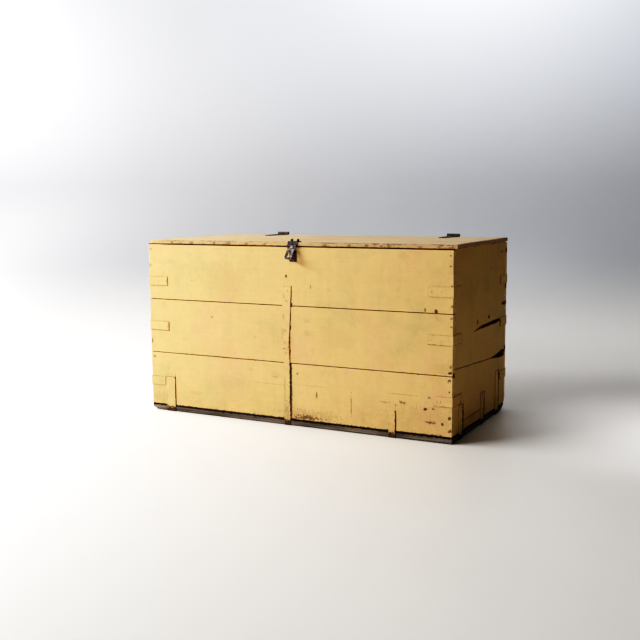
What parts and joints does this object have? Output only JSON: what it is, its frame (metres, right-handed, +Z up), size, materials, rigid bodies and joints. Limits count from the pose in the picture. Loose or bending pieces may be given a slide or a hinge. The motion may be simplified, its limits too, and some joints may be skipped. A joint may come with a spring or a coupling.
{
  "type": "shipping crate",
  "caption": "Yellow-painted board shipping crate with a hinged lid, iron corner straps and bands, a hasp and staple, and rope-handle holes in its ends.",
  "frame": {"origin": "centre of the case's footprint, on the surface it stands on, at the underside of the centre band", "axes": "+X along the length to the right as seen from the hasp side, +Y towards the hinge side, +Z up"},
  "size_m": [1.2362, 0.6574, 0.669],
  "materials": {
    "painted_wood": "old yellow oil paint on softwood boards, worn at the edges",
    "bare_wood": "bare, aged softwood",
    "painted_iron": "iron strap painted over with the boards, rust at the edges",
    "rusty_iron": "dark rusted wrought iron",
    "nail_iron": "rusted nail and screw heads"
  },
  "bodies": {
    "case": {"back_board_bottom": "painted_wood", "back_board_middle": "painted_wood", "back_board_top": "painted_wood", "back_left_corner_strap_lower": "painted_iron", "back_left_corner_strap_middle": "painted_iron", "back_left_corner_strap_upper": "painted_iron", "back_right_corner_strap_lower": "painted_iron", "back_right_corner_strap_middle": "painted_iron", "back_right_corner_strap_upper": "painted_iron", "bottom_band_centre": "painted_iron", "bottom_band_left": "painted_iron", "bottom_band_right": "painted_iron", "bottom_board_back": "bare_wood", "bottom_board_front": "bare_wood", "bottom_board_middle": "bare_wood", "centre_strap": "painted_iron", "front_board_bottom": "painted_wood", "front_board_middle": "painted_wood", "front_board_top": "painted_wood", "front_left_corner_strap_lower": "painted_iron", "front_left_corner_strap_middle": "painted_iron", "front_left_corner_strap_upper": "painted_iron", "front_right_corner_strap_lower": "painted_iron", "front_right_corner_strap_middle": "painted_iron", "front_right_corner_strap_upper": "painted_iron", "hinge_case_leaf_left": "rusty_iron", "hinge_case_leaf_right": "rusty_iron", "hinge_case_screws": "nail_iron", "hinge_pin_left": "rusty_iron", "hinge_pin_right": "rusty_iron", "left_end_band_back": "painted_iron", "left_end_band_front": "painted_iron", "left_end_band_middle": "painted_iron", "left_end_board_lower": "painted_wood", "left_end_board_upper": "painted_wood", "right_end_band_back": "painted_iron", "right_end_band_front": "painted_iron", "right_end_band_middle": "painted_iron", "right_end_board_lower": "painted_wood", "right_end_board_upper": "painted_wood", "staple": "rusty_iron", "staple_plate": "rusty_iron", "staple_plate_nails": "nail_iron", "strap_nails": "nail_iron", "wall_nails": "nail_iron"},
    "lid": {"hasp_bolts": "nail_iron", "hasp_pin": "rusty_iron", "hasp_plate": "rusty_iron", "hinge_lid_leaf_left": "rusty_iron", "hinge_lid_leaf_right": "rusty_iron", "hinge_lid_screws": "nail_iron", "lid_batten_left": "bare_wood", "lid_batten_right": "bare_wood", "lid_board_back": "painted_wood", "lid_board_front": "painted_wood", "lid_board_middle": "painted_wood", "lid_nails": "nail_iron"},
    "hasp": {"hasp_leaf": "rusty_iron"}
  },
  "joints": [
    {"name": "lid_hinge", "type": "hinge", "parent": "case", "child": "lid", "pos_m": [0.014, 0.308, 0.663], "axis": [-1, 0, 0], "range_deg": [0, 265]},
    {"name": "hasp_hinge", "type": "hinge", "parent": "lid", "child": "hasp", "pos_m": [0.02, -0.3085, 0.6435], "axis": [-1, 0, 0], "range_deg": [-37, 140]}
  ]
}
